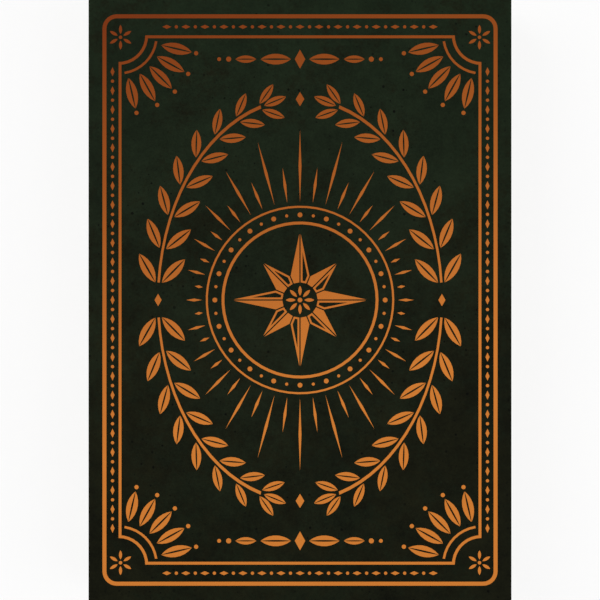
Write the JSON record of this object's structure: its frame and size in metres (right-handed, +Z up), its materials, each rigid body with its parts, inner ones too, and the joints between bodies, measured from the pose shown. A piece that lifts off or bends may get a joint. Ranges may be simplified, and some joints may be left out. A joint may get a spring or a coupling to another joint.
{
  "type": "card deck",
  "caption": "Squared deck of large inspirational cards with dark green backs and a copper ornament. The cards fan out about a grip, and the top card draws off.",
  "frame": {"origin": "middle of the underside of the bottom card", "axes": "+Z up out of the table through the card backs, +Y along the cards' long side towards the head of the back design, +X along the short side to the right of it"},
  "size_m": [0.0892, 0.1272, 0.018],
  "materials": {
    "card_stock": "matte",
    "copper_print": "satin"
  },
  "bodies": {
    "card_01": {"card_01": "card_stock"},
    "card_02": {"card_02": "card_stock"},
    "card_03": {"card_03": "card_stock"},
    "card_04": {"card_04": "card_stock"},
    "card_05": {"card_05": "card_stock"},
    "card_06": {"card_06": "card_stock"},
    "card_07": {"card_07": "card_stock"},
    "card_08": {"card_08": "card_stock"},
    "card_09": {"card_09": "card_stock"},
    "card_10": {"card_10": "card_stock"},
    "card_11": {"card_11": "card_stock"},
    "card_12": {"card_12": "card_stock"},
    "card_13": {"card_13": "card_stock"},
    "card_14": {"card_14": "card_stock"},
    "card_15": {"card_15": "card_stock"},
    "card_16": {"card_16": "card_stock"},
    "card_17": {"card_17": "card_stock"},
    "card_18": {"card_18": "card_stock"},
    "card_19": {"card_19": "card_stock"},
    "card_20": {"card_20": "card_stock"},
    "card_21": {"card_21": "card_stock"},
    "card_22": {"card_22": "card_stock"},
    "card_23": {"card_23": "card_stock"},
    "card_24": {"card_24": "card_stock"},
    "card_25": {"card_25": "card_stock"},
    "card_26": {"card_26": "card_stock"},
    "card_27": {"card_27": "card_stock"},
    "card_28": {"card_28": "card_stock"},
    "card_29": {"card_29": "card_stock"},
    "card_30": {"card_30": "card_stock"},
    "card_31": {"card_31": "card_stock"},
    "card_32": {"card_32": "card_stock"},
    "card_33": {"card_33": "card_stock"},
    "card_34": {"card_34": "card_stock"},
    "card_35": {"card_35": "card_stock"},
    "card_36": {"card_36": "card_stock"},
    "card_37": {"card_37": "card_stock"},
    "card_38": {"card_38": "card_stock"},
    "card_39": {"card_39": "card_stock"},
    "card_40": {"card_40": "card_stock"},
    "card_41": {"card_41": "card_stock"},
    "card_42": {"card_42": "card_stock"},
    "card_43": {"card_43": "card_stock"},
    "card_44": {"card_44": "card_stock"}
  },
  "joints": [
    {"name": "fan_02", "type": "hinge", "parent": "card_01", "child": "card_02", "pos_m": [0, -0.0455, 0], "axis": [0, 0, -1], "range_deg": [-2.87, 2.87]},
    {"name": "fan_03", "type": "hinge", "parent": "card_01", "child": "card_03", "pos_m": [0, -0.0455, 0], "axis": [0, 0, -1], "range_deg": [-5.72, 5.72]},
    {"name": "fan_04", "type": "hinge", "parent": "card_01", "child": "card_04", "pos_m": [0, -0.0455, 0], "axis": [0, 0, -1], "range_deg": [-8.58, 8.58]},
    {"name": "fan_05", "type": "hinge", "parent": "card_01", "child": "card_05", "pos_m": [0, -0.0455, 0], "axis": [0, 0, -1], "range_deg": [-11.44, 11.44]},
    {"name": "fan_06", "type": "hinge", "parent": "card_01", "child": "card_06", "pos_m": [0, -0.0455, 0], "axis": [0, 0, -1], "range_deg": [-14.3, 14.3]},
    {"name": "fan_07", "type": "hinge", "parent": "card_01", "child": "card_07", "pos_m": [0, -0.0455, 0], "axis": [0, 0, -1], "range_deg": [-17.15, 17.15]},
    {"name": "fan_08", "type": "hinge", "parent": "card_01", "child": "card_08", "pos_m": [0, -0.0455, 0], "axis": [0, 0, -1], "range_deg": [-20.01, 20.01]},
    {"name": "fan_09", "type": "hinge", "parent": "card_01", "child": "card_09", "pos_m": [0, -0.0455, 0], "axis": [0, 0, -1], "range_deg": [-22.87, 22.87]},
    {"name": "fan_10", "type": "hinge", "parent": "card_01", "child": "card_10", "pos_m": [0, -0.0455, 0], "axis": [0, 0, -1], "range_deg": [-25.72, 25.72]},
    {"name": "fan_11", "type": "hinge", "parent": "card_01", "child": "card_11", "pos_m": [0, -0.0455, 0], "axis": [0, 0, -1], "range_deg": [-28.58, 28.58]},
    {"name": "fan_12", "type": "hinge", "parent": "card_01", "child": "card_12", "pos_m": [0, -0.0455, 0], "axis": [0, 0, -1], "range_deg": [-31.44, 31.44]},
    {"name": "fan_13", "type": "hinge", "parent": "card_01", "child": "card_13", "pos_m": [0, -0.0455, 0], "axis": [0, 0, -1], "range_deg": [-34.3, 34.3]},
    {"name": "fan_14", "type": "hinge", "parent": "card_01", "child": "card_14", "pos_m": [0, -0.0455, 0], "axis": [0, 0, -1], "range_deg": [-37.15, 37.15]},
    {"name": "fan_15", "type": "hinge", "parent": "card_01", "child": "card_15", "pos_m": [0, -0.0455, 0], "axis": [0, 0, -1], "range_deg": [-40.01, 40.01]},
    {"name": "fan_16", "type": "hinge", "parent": "card_01", "child": "card_16", "pos_m": [0, -0.0455, 0], "axis": [0, 0, -1], "range_deg": [-42.87, 42.87]},
    {"name": "fan_17", "type": "hinge", "parent": "card_01", "child": "card_17", "pos_m": [0, -0.0455, 0], "axis": [0, 0, -1], "range_deg": [-45.72, 45.72]},
    {"name": "fan_18", "type": "hinge", "parent": "card_01", "child": "card_18", "pos_m": [0, -0.0455, 0], "axis": [0, 0, -1], "range_deg": [-48.58, 48.58]},
    {"name": "fan_19", "type": "hinge", "parent": "card_01", "child": "card_19", "pos_m": [0, -0.0455, 0], "axis": [0, 0, -1], "range_deg": [-51.44, 51.44]},
    {"name": "fan_20", "type": "hinge", "parent": "card_01", "child": "card_20", "pos_m": [0, -0.0455, 0], "axis": [0, 0, -1], "range_deg": [-54.3, 54.3]},
    {"name": "fan_21", "type": "hinge", "parent": "card_01", "child": "card_21", "pos_m": [0, -0.0455, 0], "axis": [0, 0, -1], "range_deg": [-57.15, 57.15]},
    {"name": "fan_22", "type": "hinge", "parent": "card_01", "child": "card_22", "pos_m": [0, -0.0455, 0], "axis": [0, 0, -1], "range_deg": [-60.01, 60.01]},
    {"name": "fan_23", "type": "hinge", "parent": "card_01", "child": "card_23", "pos_m": [0, -0.0455, 0], "axis": [0, 0, -1], "range_deg": [-62.87, 62.87]},
    {"name": "fan_24", "type": "hinge", "parent": "card_01", "child": "card_24", "pos_m": [0, -0.0455, 0], "axis": [0, 0, -1], "range_deg": [-65.72, 65.72]},
    {"name": "fan_25", "type": "hinge", "parent": "card_01", "child": "card_25", "pos_m": [0, -0.0455, 0], "axis": [0, 0, -1], "range_deg": [-68.58, 68.58]},
    {"name": "fan_26", "type": "hinge", "parent": "card_01", "child": "card_26", "pos_m": [0, -0.0455, 0], "axis": [0, 0, -1], "range_deg": [-71.44, 71.44]},
    {"name": "fan_27", "type": "hinge", "parent": "card_01", "child": "card_27", "pos_m": [0, -0.0455, 0], "axis": [0, 0, -1], "range_deg": [-74.3, 74.3]},
    {"name": "fan_28", "type": "hinge", "parent": "card_01", "child": "card_28", "pos_m": [0, -0.0455, 0], "axis": [0, 0, -1], "range_deg": [-77.15, 77.15]},
    {"name": "fan_29", "type": "hinge", "parent": "card_01", "child": "card_29", "pos_m": [0, -0.0455, 0], "axis": [0, 0, -1], "range_deg": [-80.01, 80.01]},
    {"name": "fan_30", "type": "hinge", "parent": "card_01", "child": "card_30", "pos_m": [0, -0.0455, 0], "axis": [0, 0, -1], "range_deg": [-82.87, 82.87]},
    {"name": "fan_31", "type": "hinge", "parent": "card_01", "child": "card_31", "pos_m": [0, -0.0455, 0], "axis": [0, 0, -1], "range_deg": [-85.72, 85.72]},
    {"name": "fan_32", "type": "hinge", "parent": "card_01", "child": "card_32", "pos_m": [0, -0.0455, 0], "axis": [0, 0, -1], "range_deg": [-88.58, 88.58]},
    {"name": "fan_33", "type": "hinge", "parent": "card_01", "child": "card_33", "pos_m": [0, -0.0455, 0], "axis": [0, 0, -1], "range_deg": [-91.44, 91.44]},
    {"name": "fan_34", "type": "hinge", "parent": "card_01", "child": "card_34", "pos_m": [0, -0.0455, 0], "axis": [0, 0, -1], "range_deg": [-94.3, 94.3]},
    {"name": "fan_35", "type": "hinge", "parent": "card_01", "child": "card_35", "pos_m": [0, -0.0455, 0], "axis": [0, 0, -1], "range_deg": [-97.15, 97.15]},
    {"name": "fan_36", "type": "hinge", "parent": "card_01", "child": "card_36", "pos_m": [0, -0.0455, 0], "axis": [0, 0, -1], "range_deg": [-100.01, 100.01]},
    {"name": "fan_37", "type": "hinge", "parent": "card_01", "child": "card_37", "pos_m": [0, -0.0455, 0], "axis": [0, 0, -1], "range_deg": [-102.87, 102.87]},
    {"name": "fan_38", "type": "hinge", "parent": "card_01", "child": "card_38", "pos_m": [0, -0.0455, 0], "axis": [0, 0, -1], "range_deg": [-105.72, 105.72]},
    {"name": "fan_39", "type": "hinge", "parent": "card_01", "child": "card_39", "pos_m": [0, -0.0455, 0], "axis": [0, 0, -1], "range_deg": [-108.58, 108.58]},
    {"name": "fan_40", "type": "hinge", "parent": "card_01", "child": "card_40", "pos_m": [0, -0.0455, 0], "axis": [0, 0, -1], "range_deg": [-111.44, 111.44]},
    {"name": "fan_41", "type": "hinge", "parent": "card_01", "child": "card_41", "pos_m": [0, -0.0455, 0], "axis": [0, 0, -1], "range_deg": [-114.3, 114.3]},
    {"name": "fan_42", "type": "hinge", "parent": "card_01", "child": "card_42", "pos_m": [0, -0.0455, 0], "axis": [0, 0, -1], "range_deg": [-117.15, 117.15]},
    {"name": "fan", "type": "hinge", "parent": "card_01", "child": "card_43", "pos_m": [0, -0.0455, 0], "axis": [0, 0, -1], "range_deg": [-120, 120]},
    {"name": "draw_top_card", "type": "slide", "parent": "card_43", "child": "card_44", "axis": [0, 1, 0], "range_m": [0, 0.135]}
  ],
  "couplings": [
    {"joint": "fan_02", "follows": "fan", "ratio": 0.02381},
    {"joint": "fan_03", "follows": "fan", "ratio": 0.047619},
    {"joint": "fan_04", "follows": "fan", "ratio": 0.071429},
    {"joint": "fan_05", "follows": "fan", "ratio": 0.095238},
    {"joint": "fan_06", "follows": "fan", "ratio": 0.11905},
    {"joint": "fan_07", "follows": "fan", "ratio": 0.14286},
    {"joint": "fan_08", "follows": "fan", "ratio": 0.16667},
    {"joint": "fan_09", "follows": "fan", "ratio": 0.19048},
    {"joint": "fan_10", "follows": "fan", "ratio": 0.21429},
    {"joint": "fan_11", "follows": "fan", "ratio": 0.2381},
    {"joint": "fan_12", "follows": "fan", "ratio": 0.2619},
    {"joint": "fan_13", "follows": "fan", "ratio": 0.28571},
    {"joint": "fan_14", "follows": "fan", "ratio": 0.30952},
    {"joint": "fan_15", "follows": "fan", "ratio": 0.33333},
    {"joint": "fan_16", "follows": "fan", "ratio": 0.35714},
    {"joint": "fan_17", "follows": "fan", "ratio": 0.38095},
    {"joint": "fan_18", "follows": "fan", "ratio": 0.40476},
    {"joint": "fan_19", "follows": "fan", "ratio": 0.42857},
    {"joint": "fan_20", "follows": "fan", "ratio": 0.45238},
    {"joint": "fan_21", "follows": "fan", "ratio": 0.47619},
    {"joint": "fan_22", "follows": "fan", "ratio": 0.5},
    {"joint": "fan_23", "follows": "fan", "ratio": 0.52381},
    {"joint": "fan_24", "follows": "fan", "ratio": 0.54762},
    {"joint": "fan_25", "follows": "fan", "ratio": 0.57143},
    {"joint": "fan_26", "follows": "fan", "ratio": 0.59524},
    {"joint": "fan_27", "follows": "fan", "ratio": 0.61905},
    {"joint": "fan_28", "follows": "fan", "ratio": 0.64286},
    {"joint": "fan_29", "follows": "fan", "ratio": 0.66667},
    {"joint": "fan_30", "follows": "fan", "ratio": 0.69048},
    {"joint": "fan_31", "follows": "fan", "ratio": 0.71429},
    {"joint": "fan_32", "follows": "fan", "ratio": 0.73809},
    {"joint": "fan_33", "follows": "fan", "ratio": 0.76191},
    {"joint": "fan_34", "follows": "fan", "ratio": 0.78571},
    {"joint": "fan_35", "follows": "fan", "ratio": 0.80952},
    {"joint": "fan_36", "follows": "fan", "ratio": 0.83333},
    {"joint": "fan_37", "follows": "fan", "ratio": 0.85714},
    {"joint": "fan_38", "follows": "fan", "ratio": 0.88095},
    {"joint": "fan_39", "follows": "fan", "ratio": 0.90476},
    {"joint": "fan_40", "follows": "fan", "ratio": 0.92857},
    {"joint": "fan_41", "follows": "fan", "ratio": 0.95238},
    {"joint": "fan_42", "follows": "fan", "ratio": 0.97619}
  ]
}
